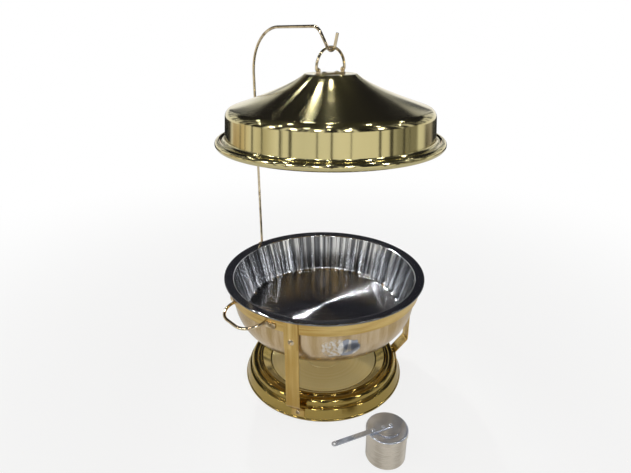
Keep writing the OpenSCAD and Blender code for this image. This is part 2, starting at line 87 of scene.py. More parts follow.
class Flow:
    def __init__(self, tree, socket):
        self.tree = tree
        self.socket = socket

    def maths(self, operation, *values):
        node = self.tree.nodes.new("ShaderNodeMath")
        node.operation = operation
        for socket, value in zip(node.inputs, values):
            feed(self.tree, socket, value)
        return Flow(self.tree, node.outputs[0])

    def __add__(self, other):
        return self.maths("ADD", self, other)

    def __sub__(self, other):
        return self.maths("SUBTRACT", self, other)

    def __rsub__(self, other):
        return self.maths("SUBTRACT", other, self)

    def __mul__(self, other):
        return self.maths("MULTIPLY", self, other)

    __radd__ = __add__


class Finish:
    def __init__(self, owner):
        owner.use_nodes = True
        self.owner = owner
        self.tree = owner.node_tree
        self.tree.nodes.clear()

    def add(self, kind, settings=None, sockets=None, out=0):
        node = self.tree.nodes.new("ShaderNode" + kind)
        for name, value in (settings or {}).items():
            if name == "stops":
                stops = node.color_ramp.elements
                while len(stops) < len(value):
                    stops.new(1)
                for stop, (place, colour) in zip(stops, value):
                    stop.position = place
                    stop.color = (*colour, 1)
            else:
                setattr(node, name, value)
        for name, value in (sockets or {}).items():
            feed(self.tree, node.inputs[name], value)
        return Flow(self.tree, node.outputs[out])

    def place(self):
        return self.add("TexCoord", out="Object")

    # place without its height, from an upright axis
    def flat(self, axis=(0, 0)):
        shift = (-axis[0], -axis[1], 0)
        return self.add("Mapping", None, {"Vector": self.place(), "Location": shift, "Scale": (1, 1, 0)})

    def radius(self, axis=(0, 0)):
        return self.add("VectorMath", {"operation": "LENGTH"}, {0: self.flat(axis)}, "Value")

    def noise(self, scale, detail=2, stretch=(1, 1, 1), roughness=0.5):
        where = self.add("Mapping", None, {"Vector": self.place(), "Scale": stretch})
        sockets = {"Vector": where, "Scale": scale, "Detail": detail, "Roughness": roughness}
        return self.add("TexNoise", None, sockets)

    # noise that changes only round the upright axis, as straight bands up a wall
    def bands(self, scale, detail):
        bearing = self.add("VectorMath", {"operation": "NORMALIZE"}, {0: self.flat()}, "Vector")
        return self.add("TexNoise", None, {"Vector": bearing, "Scale": scale, "Detail": detail})

    # one value along a line, as fine lines turned or drawn in the metal
    def lines(self, along, scale, detail=2):
        sockets = {"W": along, "Scale": scale, "Detail": detail}
        return self.add("TexNoise", {"noise_dimensions": "1D"}, sockets)

    def span(self, value, low, high, toLow=0.0, toHigh=1.0):
        ends = {"Value": value, "From Min": low, "From Max": high, "To Min": toLow, "To Max": toHigh}
        return self.add("MapRange", {"interpolation_type": "SMOOTHSTEP"}, ends)

    def blend(self, factor, first, second):
        return self.add("Mix", {"data_type": "RGBA"}, {0: factor, 6: first, 7: second}, 2)

    def bump(self, height, strength, distance):
        return self.add("Bump", None, {"Height": height, "Strength": strength, "Distance": distance})

    def output(self, shader, kind="Material"):
        end = self.tree.nodes.new("ShaderNodeOutput" + kind)
        self.tree.links.new(shader.socket, end.inputs["Surface"])
        return self.owner

    def surface(self, sockets):
        return self.output(self.add("BsdfPrincipled", None, sockets))


def newFinish(name):
    return Finish(bpy.data.materials.new(name))


# studio: pale floor, a white surround, a dark ceiling with small round lamps
studio = {
    "floorR": 2.0, "floorSides": 96, "floorColour": (0.66, 0.65, 0.63), "floorWhite": 0.80,
    "floorFade": (0.4, 1.6), "floorMirrored": 0.4, "fill": 0.6,
    # the direction that the camera looks in, and where the far and near sides end
    "far": (0.67, 0.74), "farEdge": (0.2, 0.5), "nearEdge": (0.2, 0.55),
    "horizon": (1.0, 0.98, 0.94), "lowTop": (-0.10, -0.05), "whiteTop": (0.10, 0.17),
    "window": (1.0, 1.0, 1.0), "windowSide": (0.18, 0.23), "windowTop": (0.38, 0.44),
    "ceiling": (0.014, 0.014, 0.018), "overhead": (0.03, 0.03, 0.024), "overheadRise": (0.6, 0.85),
    # upright stripes: their colour, then the shift, scale and edge of their noise
    "gap": (0.05, 0.045, 0.04), "gapStripes": (3, 8, 0.36, 0.40),
    "panel": (0.85, 0.85, 0.84), "panelStripes": (0, 5, 0.53, 0.58), "panelTop": (0.5, 0.8),
    "pillar": (0.08, 0.085, 0.1), "pillarStripes": (7, 9, 0.46, 0.54),
    # tones of the studio's wall, from behind the object on the left round to behind it on the right
    "around": [
        (0.0, (0.02, 0.02, 0.02)), (0.13, (0.02, 0.02, 0.02)), (0.145, (0.9, 0.85, 0.75)),
        (0.16, (0.5, 0.36, 0.2)), (0.21, (0.75, 0.62, 0.42)), (0.25, (1, 0.97, 0.88)),
        (0.30, (0.62, 0.58, 0.46)), (0.34, (1, 0.98, 0.9)), (0.42, (0.85, 0.84, 0.78)),
        (0.52, (1, 0.98, 0.92)), (0.66, (0.95, 0.93, 0.85)), (0.70, (0.32, 0.31, 0.26)),
        (0.775, (0.28, 0.27, 0.22)), (0.785, (1, 1, 0.92)), (0.81, (0.8, 0.78, 0.7)),
        (0.825, (0.08, 0.07, 0.06)), (0.86, (0.4, 0.36, 0.32)), (0.88, (0.03, 0.03, 0.03)),
        (1.0, (0.03, 0.03, 0.03)),
    ],
}
lampSet = {
    "rows": {"places": (-1.95, -0.65, 0.65, 1.95), "height": 2.6, "far": 1.2, "size": 0.11, "power": 2.0},
    # the key lights the pan's floor, the glint the lid's cone
    "key": {"place": (0.56, 1.54, 1.95), "aim": (0, 0, 0.12), "size": 0.15, "power": 0.28, "spread": 16},
    "glint": {
        "place": (0.53, 0.92, 2.12), "aim": (-0.06, -0.12, 0.53), "size": 0.12, "power": 0.006, "spread": 9,
    },
    # on the camera's side, seen only as glints in the metal
    "near": {"turns": (-198, -172, -146, -115, -78), "rise": 37.5, "reach": 2.7, "size": 0.22, "power": 5.5},
}


# rays that look straight at the background, and rays that see it in metal or glass
def seenRays(look):
    direct = look.add("LightPath", out="Is Camera Ray")
    glossy = look.add("LightPath", out="Is Glossy Ray")
    clear = look.add("LightPath", out="Is Transmission Ray")
    return direct, glossy + clear


def makeFloor():
    s = studio
    bm = bmesh.new()
    bmesh.ops.create_circle(bm, cap_ends=True, segments=s["floorSides"], radius=s["floorR"])
    mesh = bpy.data.meshes.new("floor")
    bm.to_mesh(mesh)
    bm.free()
    look = newFinish("paleFloor")
    direct, mirrored = seenRays(look)
    fade = look.span(look.radius(), *s["floorFade"], s["floorWhite"], 1)
    plain = look.add("BsdfDiffuse", None, {"Color": s["floorColour"]})
    white = look.add("Emission", None, {"Color": (1, 1, 1), "Strength": 1})
    seen = direct + mirrored * s["floorMirrored"]
    both = look.add("MixShader", None, {0: seen * fade, 1: plain, 2: white})
    mesh.materials.append(look.output(both))
    floor = bpy.data.objects.new("floor", mesh)
    bpy.context.scene.collection.objects.link(floor)


def makeWorld():
    s = studio
    world = bpy.data.worlds.new("studio")
    bpy.context.scene.world = world
    look = Finish(world)
    heading = look.add("TexCoord", out="Generated")
    x, y, z = (look.add("SeparateXYZ", None, {0: heading}, name) for name in "XYZ")
    around = y.maths("ARCTAN2", y, x)

    def stripes(shift, scale, low, high):
        return look.span(look.lines(around + shift, scale), low, high)

    farX, farY = s["far"]
    far = x * farX + y * farY
    side = x * farY - y * farX
    farSide = look.span(far, *s["farEdge"])
    nearSide = 1 - look.span(far, *s["nearEdge"])
    # share of a full turn, half way where the camera stands
    share = side.maths("ARCTAN2", side, 0 - far) * (0.5 / pi) + 0.5
    gaps = (1 - stripes(*s["gapStripes"])) * nearSide
    stands = look.add("ValToRGB", {"stops": s["around"]}, {0: share})
    level = look.span(z, *s["lowTop"]) * farSide
    surround = look.blend(level, look.blend(gaps, stands, s["gap"]), s["horizon"])
    panels = stripes(*s["panelStripes"]) * nearSide * (1 - look.span(z, *s["panelTop"]))
    apart = look.span(side.maths("ABSOLUTE", side), *s["windowSide"]) * farSide
    windows = apart * (1 - look.span(z, *s["windowTop"]))
    ceiling = look.blend(look.span(z, *s["overheadRise"]), s["ceiling"], s["overhead"])
    glass = look.blend(stripes(*s["pillarStripes"]), s["pillar"], s["window"])
    above = look.blend(panels, look.blend(windows, ceiling, glass), s["panel"])
    room = look.blend(look.span(z, *s["whiteTop"]), surround, above)
    direct, mirrored = seenRays(look)
    fill, mirroredRoom, white = (
        look.add("Background", None, {"Color": colour, "Strength": strength})
        for colour, strength in (((1, 1, 1), s["fill"]), (room, 1), ((1, 1, 1), 1))
    )
    lit = look.add("MixShader", None, {0: mirrored, 1: fill, 2: mirroredRoom})
    look.output(look.add("MixShader", None, {0: direct, 1: lit, 2: white}), "World")


def makeLamp(name, place, aim, size, power, spread=180):
    lamp = bpy.data.lights.new(name, "AREA")
    lamp.shape = "DISK"
    lamp.size = size
    lamp.energy = power
    lamp.spread = radians(spread)
    holder = bpy.data.objects.new(name, lamp)
    stand(holder, place, Vector(aim) - Vector(place))
    return holder


def makeLamps():
    rows, near = lampSet["rows"], lampSet["near"]
    for row, y in enumerate(rows["places"]):
        for column, x in enumerate(rows["places"]):
            if Vector((x, y)).dot(Vector(studio["far"])) < rows["far"]:
                spot = (x, y, rows["height"])
                makeLamp(f"lamp{row}{column}", spot, (x, y, 0), rows["size"], rows["power"])
    for name in ("key", "glint"):
        makeLamp(name, **lampSet[name])
    rise = radians(near["rise"])
    for i, turn in enumerate(map(radians, near["turns"])):
        spot = Vector((cos(rise) * cos(turn), cos(rise) * sin(turn), sin(rise))) * near["reach"]
        lamp = makeLamp(f"near{i}", spot, (0, 0, 0), near["size"], near["power"])
        lamp.visible_diffuse = False


makeFloor()
makeWorld()
makeLamps()
print("studio: floor, walls and lamps")


# finishes: a noise is its scale, detail, stretch and roughness, an edge the values that it fades between
acrossLines = 0.25
goldLook = {
    "roughness": 0.13, "smudge": 0.06, "smudges": (9, 4), "smudgeEdge": (0.42, 0.75), "tones": (4, 2),
    "rings": (1500, 3), "bump": (0.02, 0.0002), "spread": 0.8,
}


def polishedGold(name, colour, deep, axis=(0, 0)):
    s = goldLook
    look = newFinish(name)
    rings = look.lines(look.radius(axis), *s["rings"])
    smudges = look.span(look.noise(*s["smudges"]), *s["smudgeEdge"])
    return look.surface({
        "Base Color": look.blend(look.noise(*s["tones"]), deep, colour),
        "Metallic": 1.0,
        "Roughness": s["roughness"] + smudges * s["smudge"],
        "Normal": look.bump(rings, *s["bump"]),
        "Anisotropic": s["spread"],
        "Anisotropic Rotation": acrossLines,
    })


satinLook = {
    "colour": (0.50, 0.32, 0.09), "pale": (0.74, 0.55, 0.22), "tones": (7, 3), "toneEdge": (0.36, 0.62),
    "brush": (60, 3), "brushFine": 0.65, "roughness": 0.15, "brushRough": 0.14, "bump": (0.12, 0.0003),
}


def satinGold(name, stretch):
    s = satinLook
    look = newFinish(name)
    brush = look.noise(*s["brush"], stretch, s["brushFine"])
    tone = look.noise(*s["tones"]) * 0.5 + brush * 0.5
    return look.surface({
        "Base Color": look.blend(look.span(tone, *s["toneEdge"]), s["colour"], s["pale"]),
        "Metallic": 1.0,
        "Roughness": s["roughness"] + brush * s["brushRough"],
        "Normal": look.bump(brush, *s["bump"]),
    })


wireLook = {
    "colour": (0.72, 0.62, 0.44), "worn": (0.30, 0.22, 0.12), "wear": (70, 4), "wearEdge": (0.45, 0.7),
    "roughness": 0.05, "wornRough": 0.12, "grain": (400, 2), "bump": (0.05, 0.0002),
}


def goldWire(name):
    s = wireLook
    look = newFinish(name)
    wear = look.span(look.noise(*s["wear"]), *s["wearEdge"])
    return look.surface({
        "Base Color": look.blend(wear, s["colour"], s["worn"]),
        "Metallic": 1.0,
        "Roughness": s["roughness"] + wear * s["wornRough"],
        "Normal": look.bump(look.noise(*s["grain"]), *s["bump"]),
    })


steelLook = {
    "colour": (0.78, 0.79, 0.81), "dull": (0.64, 0.65, 0.67), "paintedReflectionDark": (0.07, 0.075, 0.09),
    "paintedBands": (17, 3), "paintedBandEdge": (0.42, 0.55), "roughness": 0.11, "smudge": 0.05,
    "smudges": (16, 4), "smudgeEdge": (0.45, 0.75),
}
# the pan's wall: painted dark reflection bands, with its colour raised to make up for them
wallLook = {"share": 1.25, "wave": (1.0, 0.006), "drawn": (9, 1), "spread": 0.9, "paintedBandShare": 0.85}


# polished steel, with upright waves, and where asked for, dark upright bands painted into its colour as painted
# reflection of dark streaks
def mirrorSteel(name, share=1.0, wave=(0.05, 0.0006), drawn=(30, 1), spread=0.3, paintedBandShare=0.0):
    s = steelLook
    look = newFinish(name)
    smudges = look.span(look.noise(*s["smudges"]), *s["smudgeEdge"])
    colour, dull = ([part * share for part in s[key]] for key in ("colour", "dull"))
    clean = look.blend(smudges, colour, dull)
    # painted reflection: dark upright bands round the axis
    paintedReflectionDark = look.span(look.bands(*s["paintedBands"]), *s["paintedBandEdge"], paintedBandShare, 0)
    return look.surface({
        "Base Color": look.blend(paintedReflectionDark, clean, s["paintedReflectionDark"]),
        "Metallic": 1.0,
        "Roughness": s["roughness"] + smudges * s["smudge"],
        "Normal": look.bump(look.bands(*drawn), *wave),
        "Anisotropic": spread,
        "Anisotropic Rotation": acrossLines,
    })


brushLook = {
    "rings": (900, 4), "roughness": 0.165, "ringRough": 0.03, "tones": (220, 2), "toneEdge": (0.3, 0.7),
}


def ringBrushed(name, colour, dark, metal=1.0):
    s = brushLook
    look = newFinish(name)
    rings = look.lines(look.radius(), *s["rings"])
    tone = look.span(look.lines(look.radius(), *s["tones"]), *s["toneEdge"])
    return look.surface({
        "Base Color": look.blend(tone, dark, colour),
        "Metallic": metal,
        "Roughness": s["roughness"] + rings * s["ringRough"],
        "Anisotropic": 1.0,
        "Anisotropic Rotation": acrossLines,
    })


# steel under a milky film, with a torn patch and a crumpled one beside it; white highlights are painted on the
# bare steel and on the crinkles
filmLook = {
    # white: a painted highlight colour, for the bare steel's streaks and the crinkles' glints
    "milk": (0.46, 0.31, 0.11), "pale": (0.72, 0.57, 0.37), "white": (0.86, 0.84, 0.80),
    "steel": (0.40, 0.43, 0.50), "paintedStreaks": (80, 2, (1, 1, 0.12)), "paintedStreakEdge": (0.56, 0.64),
    # painted reflection: the bowl's film is painted deeper gold away from the middle, as the camera sees it,
    # standing in for gold reflected from the ring
    "across": (0.743, -0.669, 0), "paintedGoldReflection": (0.05, 0.15), "paintedGoldShift": 0.22,
    "patchR": 0.172, "patchZ": 0.168, "ragged": (120, 4), "raggedReach": 0.7,
    "tearTurn": -119, "tearSize": (0.04, 0.0195, 0.0185), "tearEdge": (0.97, 1.03),
    "crumpleTurn": -126.5, "crumpleSize": (0.04, 0.021, 0.019), "crumpleEdge": (0.8, 1.25),
    "streaks": (26, 4, (2.2, 2.2, 0.16), 0.6), "streakEdge": (0.2, 0.65), "streakHeight": 0.5,
    "creases": (34, 5, (1, 1, 0.5), 0.7), "creaseHeight": 0.35,
    "crinkle": (190, 3, (1, 1, 0.7), 0.6), "paintedGlintEdge": (0.4, 0.6), "crinkleHeight": 1.5,
    "bump": (0.35, 0.003), "milky": 0.22, "crumpleMilky": 0.5,
    "roughness": 0.16, "streakRough": 0.16, "crumpleSmooth": 0.06, "coat": 0.35, "coatRough": 0.25,
}


# distance from a patch on the bowl's side, 1 at its edge
def patchReach(look, turn, size):
    s = filmLook
    angle = radians(turn)
    middle = (s["patchR"] * cos(angle), s["patchR"] * sin(angle), s["patchZ"])
    patch = look.add("Mapping", {"vector_type": "TEXTURE"}, {
        "Vector": look.place(), "Location": middle, "Rotation": (0, 0, angle), "Scale": size,
    })
    return look.add("VectorMath", {"operation": "LENGTH"}, {0: patch}, "Value")


def filmedSteel(name):
    s = filmLook
    look = newFinish(name)
    ragged = (look.noise(*s["ragged"]) - 0.5) * s["raggedReach"]
    film = look.span(patchReach(look, s["tearTurn"], s["tearSize"]) + ragged, *s["tearEdge"])
    crumple = 1 - look.span(patchReach(look, s["crumpleTurn"], s["crumpleSize"]) + ragged, *s["crumpleEdge"])
    streaks, creases, crinkle = (look.noise(*s[key]) for key in ("streaks", "creases", "crinkle"))
    across = look.add("VectorMath", {"operation": "DOT_PRODUCT"}, {0: look.place(), 1: s["across"]}, "Value")
    # painted reflection: deeper gold towards the bowl's sides across the camera's view
    side = look.span(across.maths("ABSOLUTE", across), *s["paintedGoldReflection"])
    milk = look.blend(look.span(streaks - side * s["paintedGoldShift"], *s["streakEdge"]), s["milk"], s["pale"])
    # painted highlight: white streaks on the torn patch's bare steel
    paintedStreaks = look.span(look.noise(*s["paintedStreaks"]), *s["paintedStreakEdge"])
    bare = look.blend(paintedStreaks, s["steel"], s["white"])
    # painted highlight: white glints on the crumpled film's crinkles
    crumpled = look.blend(crumple * look.span(crinkle, *s["paintedGlintEdge"]), milk, s["white"])
    height = streaks * s["streakHeight"] + creases * s["creaseHeight"]
    height = height + crinkle * crumple * s["crinkleHeight"]
    return look.surface({
        "Base Color": look.blend(film, bare, crumpled),
        "Metallic": 1 - film * (s["milky"] + crumple * s["crumpleMilky"]),
        "Roughness": s["roughness"] + film * (streaks * s["streakRough"] - crumple * s["crumpleSmooth"]),
        "Normal": look.bump(height * film, *s["bump"]),
        "Coat Weight": film * s["coat"],
        "Coat Roughness": s["coatRough"],
    })


burnerLook = {
    # bands: upright light and dark bands in the colour, painted highlight streaks
    "detail": 3, "drawnShare": 0.4, "bands": (38, 1, (1, 1, 0.03)), "paintedStreakShare": 0.6,
    "toneEdge": (0.36, 0.64), "drawnRough": 0.08, "bump": (0.03, 0.0002),
    "side": {
        "scale": 60, "stretch": (1, 1, 30), "colour": (0.80, 0.74, 0.64), "dark": (0.47, 0.42, 0.35),
        "roughness": 0.16, "spread": 0.8, "metal": 1.0,
    },
    "top": {
        "scale": 300, "stretch": (1, 8, 1), "colour": (0.68, 0.72, 0.80), "dark": (0.54, 0.57, 0.64),
        "roughness": 0.06, "spread": 0.3, "metal": 0.7,
    },
}


def drawnSteel(name, scale, stretch, colour, dark, roughness, spread, metal):
    s = burnerLook
    look = newFinish(name)
    drawn = look.noise(scale, s["detail"], stretch)
    # painted highlight: upright bands mixed into the drawn lines' tone
    tone = drawn * s["drawnShare"] + look.noise(*s["bands"]) * s["paintedStreakShare"]
    return look.surface({
        "Base Color": look.blend(look.span(tone, *s["toneEdge"]), dark, colour),
        "Metallic": metal,
        "Roughness": roughness + drawn * s["drawnRough"],
        "Normal": look.bump(drawn, *s["bump"]),
        "Anisotropic": spread,
        "Anisotropic Rotation": acrossLines,
    })


lidAxis = pivots["lid_tilt"].xy
finishes = {
    "lid": polishedGold("lidGold", (0.64, 0.57, 0.31), (0.56, 0.49, 0.24), lidAxis),
    # painted shade: the lid's inside is the same gold, painted darker and deeper
    "lidInsidePaintedShade": polishedGold("lidInsidePaintedShadeGold", (0.55, 0.37, 0.12), (0.46, 0.29, 0.08), lidAxis),
    "base": polishedGold("baseGold", (0.46, 0.35, 0.11), (0.37, 0.26, 0.07)),
    # painted light: the sunk disc's gold is painted pale and mostly matt, lifting it out of the bowl's shade
    "baseDiscPaintedLight": ringBrushed("baseDiscPaintedLightGold", (0.95, 0.84, 0.45), (0.90, 0.79, 0.40), 0.3),
    "strap": satinGold("strapGold", (1, 1, 0.05)),
    "band": satinGold("bandGold", (0.15, 0.15, 3)),
    "wire": goldWire("wireGold"),
    "fastener": goldWire("fastenerGold"),
    "mirror": mirrorSteel("panSteel"),
    "panWall": mirrorSteel("panWallSteel", **wallLook),
    # painted dark reflection: the pan's outer lip is steel at a quarter of its colour
    "panEdgePaintedDark": mirrorSteel("panEdgePaintedDarkSteel", 0.25),
    "panFloor": ringBrushed("panFloorSteel", (0.60, 0.60, 0.63), (0.50, 0.50, 0.52)),
    "film": filmedSteel("filmedSteel"),
    "burner": drawnSteel("burnerSteel", **burnerLook["side"]),
    "burnerTop": drawnSteel("burnerTopSteel", **burnerLook["top"]),
}
print("finishes:", len(finishes))


# modelling helpers
fineSteps = 220
roundSteps = {"outline": 8, "strap": 3, "barEnd": 3, "plateCorner": 5, "plateEdge": 2, "nut": 2}
squareOn = 0.9


def radiusOf(node):
    low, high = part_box(node)
    return max(high.x - low.x, high.y - low.y) / 2


def aboutZ(angle):
    return Matrix.Rotation(angle, 4, "Z")


alongX = Matrix.Rotation(pi / 2, 4, "Y")
quarter = aboutZ(pi / 2)


def rounded(bm, geom, offset, segments, affect="EDGES"):
    return bmesh.ops.bevel(
        bm, geom=geom, offset=offset, affect=affect, segments=segments, profile=0.5, material=-1
    )


# a line through radii and heights, where a third value is the radius of a rounded corner
def outline(bm, corners, closed=False):
    verts = [bm.verts.new((corner[0], 0, corner[1])) for corner in corners]
    pairs = list(zip(verts, verts[1:])) + ([(verts[-1], verts[0])] if closed else [])
    for pair in pairs:
        bm.edges.new(pair)
    runs = {}
    for i, corner in enumerate(corners):
        if len(corner) > 2:
            here = verts[i].co
            before = (verts[i - 1].co - here).normalized()
            after = (verts[(i + 1) % len(verts)].co - here).normalized()
            runs[verts[i]] = corner[2] / tan(acos(before.dot(after)) / 2)
    for vert, run in runs.items():
        rounded(bm, [vert], run, roundSteps["outline"], "VERTICES")


def arc(centre, radius, start, sweep, steps):
    turns = [radians(start + sweep * i / steps) for i in range(steps + 1)]
    return [(centre[0] + radius * cos(a), centre[1] + radius * sin(a)) for a in turns]


# an outline of radii and heights turned about the upright axis, given a wall if it is a sheet
def lathe(corners, wall=0, closed=False, steps=180, inwardUp=True):
    bm = bmesh.new()
    outline(bm, corners, closed)
    bmesh.ops.spin(
        bm, geom=bm.verts[:] + bm.edges[:], cent=(0, 0, 0), axis=up, dvec=(0, 0, 0),
        angle=2 * pi, steps=steps, use_merge=True, use_duplicate=False,
    )
    bmesh.ops.remove_doubles(bm, verts=bm.verts, dist=tiny)
    bmesh.ops.recalc_face_normals(bm, faces=bm.faces)
    if wall:
        middle = min(bm.faces, key=lambda face: face.calc_center_median().xy.length)
        if (middle.normal.z > 0) != inwardUp:
            bmesh.ops.reverse_faces(bm, faces=bm.faces)
        bmesh.ops.solidify(bm, geom=bm.faces[:], thickness=wall)
    return bm


def ringEdges(verts):
    kept = set(verts)
    return list(dict.fromkeys(
        edge for vert in verts for edge in vert.link_edges if set(edge.verts) <= kept
    ))


def onlyVerts(geom):
    return [item for item in geom if isinstance(item, bmesh.types.BMVert)]


# a section grown along runs and bends: (length,) or (radius, degrees, axis)
def bentBar(bm, verts, start, heading, moves, steps=14, edgeRound=0.0):
    place, heading = Vector(start), Vector(heading).normalized()
    first = verts
    for move in moves:
        edges = ringEdges(verts)
        if len(move) == 1:
            verts = onlyVerts(bmesh.ops.extrude_edge_only(bm, edges=edges)["geom"])
            bmesh.ops.translate(bm, vec=heading * move[0], verts=verts)
            place = place + heading * move[0]
        else:
            radius, angle, axis = move[0], radians(move[1]), Vector(move[2])
            centre = place + axis.cross(heading) * radius
            spun = bmesh.ops.spin(
                bm, geom=verts + edges, cent=centre, axis=axis, dvec=(0, 0, 0),
                angle=angle, steps=steps, use_merge=False, use_duplicate=False,
            )
            verts = onlyVerts(spun["geom_last"])
            turn = Matrix.Rotation(angle, 3, axis)
            place = centre + turn @ (place - centre)
            heading = turn @ heading
    ends = []
    for rim in (ringEdges(first), ringEdges(verts)):
        ends += bmesh.ops.contextual_create(bm, geom=rim)["faces"]
    bmesh.ops.recalc_face_normals(bm, faces=bm.faces)
    if edgeRound:
        rounded(bm, [edge for face in ends for edge in face.edges], edgeRound, roundSteps["barEnd"])
    return bm


def roundSection(bm, radius, start, heading, sides=20):
    turn = Vector(heading).to_track_quat("Z", "Y").to_matrix().to_4x4()
    place = Matrix.Translation(start) @ turn
    return bmesh.ops.create_circle(bm, segments=sides, radius=radius, matrix=place)["verts"]


# flat strap section: width along the first side, thickness along the second, corners rounded
def strapSection(bm, width, thickness, corner, start, widthAxis, thickAxis):
    wide, thick = Vector(widthAxis), Vector(thickAxis)
    frameOf = Matrix((wide, thick, wide.cross(thick))).transposed().to_4x4()
    spread = Matrix.Diagonal((width / 2, thickness / 2, 1, 1))
    made = bmesh.ops.create_circle(bm, segments=4, radius=sqrt(2), matrix=aboutZ(pi / 4))
    bmesh.ops.transform(bm, matrix=Matrix.Translation(start) @ frameOf @ spread, verts=made["verts"])
    return rounded(bm, made["verts"], corner, roundSteps["strap"], "VERTICES")["verts"]


# a plate with rounded corners and edges, given by its low corner and size
def plate(low, size, corner, edgeRound):
    bm = bmesh.new()
    centre = Vector(low) + Vector(size) / 2
    bmesh.ops.create_cube(bm, size=1, matrix=Matrix.Translation(centre) @ Matrix.Diagonal((*size, 1)))
    thin = min(range(3), key=lambda i: size[i])
    uprights = [edge for edge in bm.edges if abs(edge.verts[0].co[thin] - edge.verts[1].co[thin]) > tiny]
    rounded(bm, uprights, corner, roundSteps["plateCorner"])
    sides = [face for face in bm.faces if abs(face.normal[thin]) > squareOn]
    rounded(bm, [edge for face in sides for edge in face.edges], edgeRound, roundSteps["plateEdge"])
    return bm


def turned(bm, matrix):
    bmesh.ops.transform(bm, matrix=matrix, verts=bm.verts)
    return bm


def gather(meshes):
    whole = bmesh.new()
    for bm in meshes:
        part = bpy.data.meshes.new("part")
        bm.to_mesh(part)
        bm.free()
        whole.from_mesh(part)
        bpy.data.meshes.remove(part)
    return whole


# the finished piece: smooth faces with sharp creases, on its node's body, with the node's own solid hidden
def finishPiece(name, bm, node, looks, pick=None, crease=32):
    bmesh.ops.remove_doubles(bm, verts=bm.verts, dist=tiny)
    for face in bm.faces:
        face.smooth = True
        if pick:
            face.material_index = pick(face)
    for edge in bm.edges:
        edge.smooth = len(edge.link_faces) < 2 or edge.calc_face_angle(0) < radians(crease)
    mesh = bpy.data.meshes.new(name)
    bm.to_mesh(mesh)
    bm.free()
    for look in looks:
        mesh.materials.append(finishes[look])
    piece = bpy.data.objects.new(name, mesh)
    bpy.context.scene.collection.objects.link(piece)
    even = piece.modifiers.new("even", "WEIGHTED_NORMAL")
    even.keep_sharp = True
    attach(piece, bodyOf[node])
    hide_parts(node)
    print("piece:", name, len(mesh.polygons), "faces")


# base: foot bead, skirt, roll, groove, bead, sunk disc with the burner's ring
baseSet = {
    "sheet": 1.2 * mm, "bead": 2.3 * mm, "beadArc": (-160, 240, 14),
    "skirtIn": 5 * mm, "skirtH": 22 * mm, "skirtRound": 2 * mm, "ledge": 1.5 * mm, "ledgeRound": 1 * mm,
    "rollIn": 5 * mm, "rollRound": 7 * mm, "rimW": 20.5 * mm, "rimRound": 4 * mm,
    "grooveW": 5 * mm, "grooveD": 3.5 * mm, "grooveSlope": 0.75 * mm, "grooveRound": 0.6 * mm,
    "beadHalf": 2 * mm, "beadDrop": 0.5 * mm, "beadRound": 1.5 * mm,
    "discR": 109 * mm, "discDrop": 12 * mm, "discRound": 6 * mm, "discEdge": 2 * mm, "faceUp": 0.5,
    "seatR": 36 * mm, "seatW": 3 * mm, "seatH": 1.2 * mm, "seatFoot": 1 * mm, "seatRound": 0.6 * mm,
    # where the skirt's straight line starts, for the legs that lie on it
    "lineIn": 2.5 * mm, "lineZ": 2.1 * mm,
}


def makeBase():
    s = baseSet
    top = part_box("base_dish")[1].z
    footR = radiusOf("base_dish") - s["bead"]
    skirtR = footR - s["skirtIn"]
    rollR = skirtR - s["rollIn"]
    beadR = rollR - s["rimW"]
    grooveR = beadR + s["beadHalf"]
    disc = top - s["discDrop"]
    seat = s["seatR"]
    corners = arc((footR, s["bead"]), s["bead"], *s["beadArc"])
    corners += [
        (skirtR, s["skirtH"], s["skirtRound"]),
        (rollR, s["skirtH"] + s["ledge"], s["ledgeRound"]),
        (rollR, top, s["rollRound"]),
        (grooveR + s["grooveW"], top, s["rimRound"]),
        (grooveR + s["grooveW"] - s["grooveSlope"], top - s["grooveD"], s["grooveRound"]),
        (grooveR + s["grooveSlope"], top - s["grooveD"], s["grooveRound"]),
        (grooveR, top - s["beadDrop"], s["beadRound"]),
        (beadR - s["beadHalf"], top - s["beadDrop"], s["beadRound"]),
        (s["discR"], disc, s["discRound"]),
        (seat + s["seatW"], disc, s["seatFoot"]),
        (seat + s["seatW"] - s["seatH"], disc + s["seatH"], s["seatRound"]),
        (seat + s["seatH"], disc + s["seatH"], s["seatRound"]),
        (seat, disc, s["seatFoot"]),
        (0, disc),
    ]

    # the sunk disc's upward faces take the paler gold, painted light against the bowl's shade
    def pick(face):
        inside = face.calc_center_median().xy.length < s["discR"] - s["discEdge"]
        return int(inside and face.normal.z > s["faceUp"])

    finishPiece("base", lathe(corners, s["sheet"]), "base_dish", ["base", "baseDiscPaintedLight"], pick)


# lid: rolled bead, flare, upright band, shoulder and hollow cone up to a flat top
lidSet = {
    "sheet": 1.2 * mm, "bead": 6.5 * mm, "beadArc": (-200, 306, 24), "bandR": 176 * mm, "bandH": 43 * mm,
    "bandRound": 3 * mm, "flareH": 14 * mm, "flareOut": 5 * mm, "flareDrop": 4 * mm, "flareRound": 5 * mm,
    "taper": 3.5 * mm, "shoulderRise": 2 * mm, "shoulderR": 14 * mm,
    "coneIn": 12 * mm, "coneUp": 4 * mm, "coneHollow": 35 * mm, "coneLift": 0.62, "coneSteps": 28,
    "topR": 43 * mm, "topStep": 1 * mm, "topRound": 0.6 * mm, "faceIn": 0.3,
}


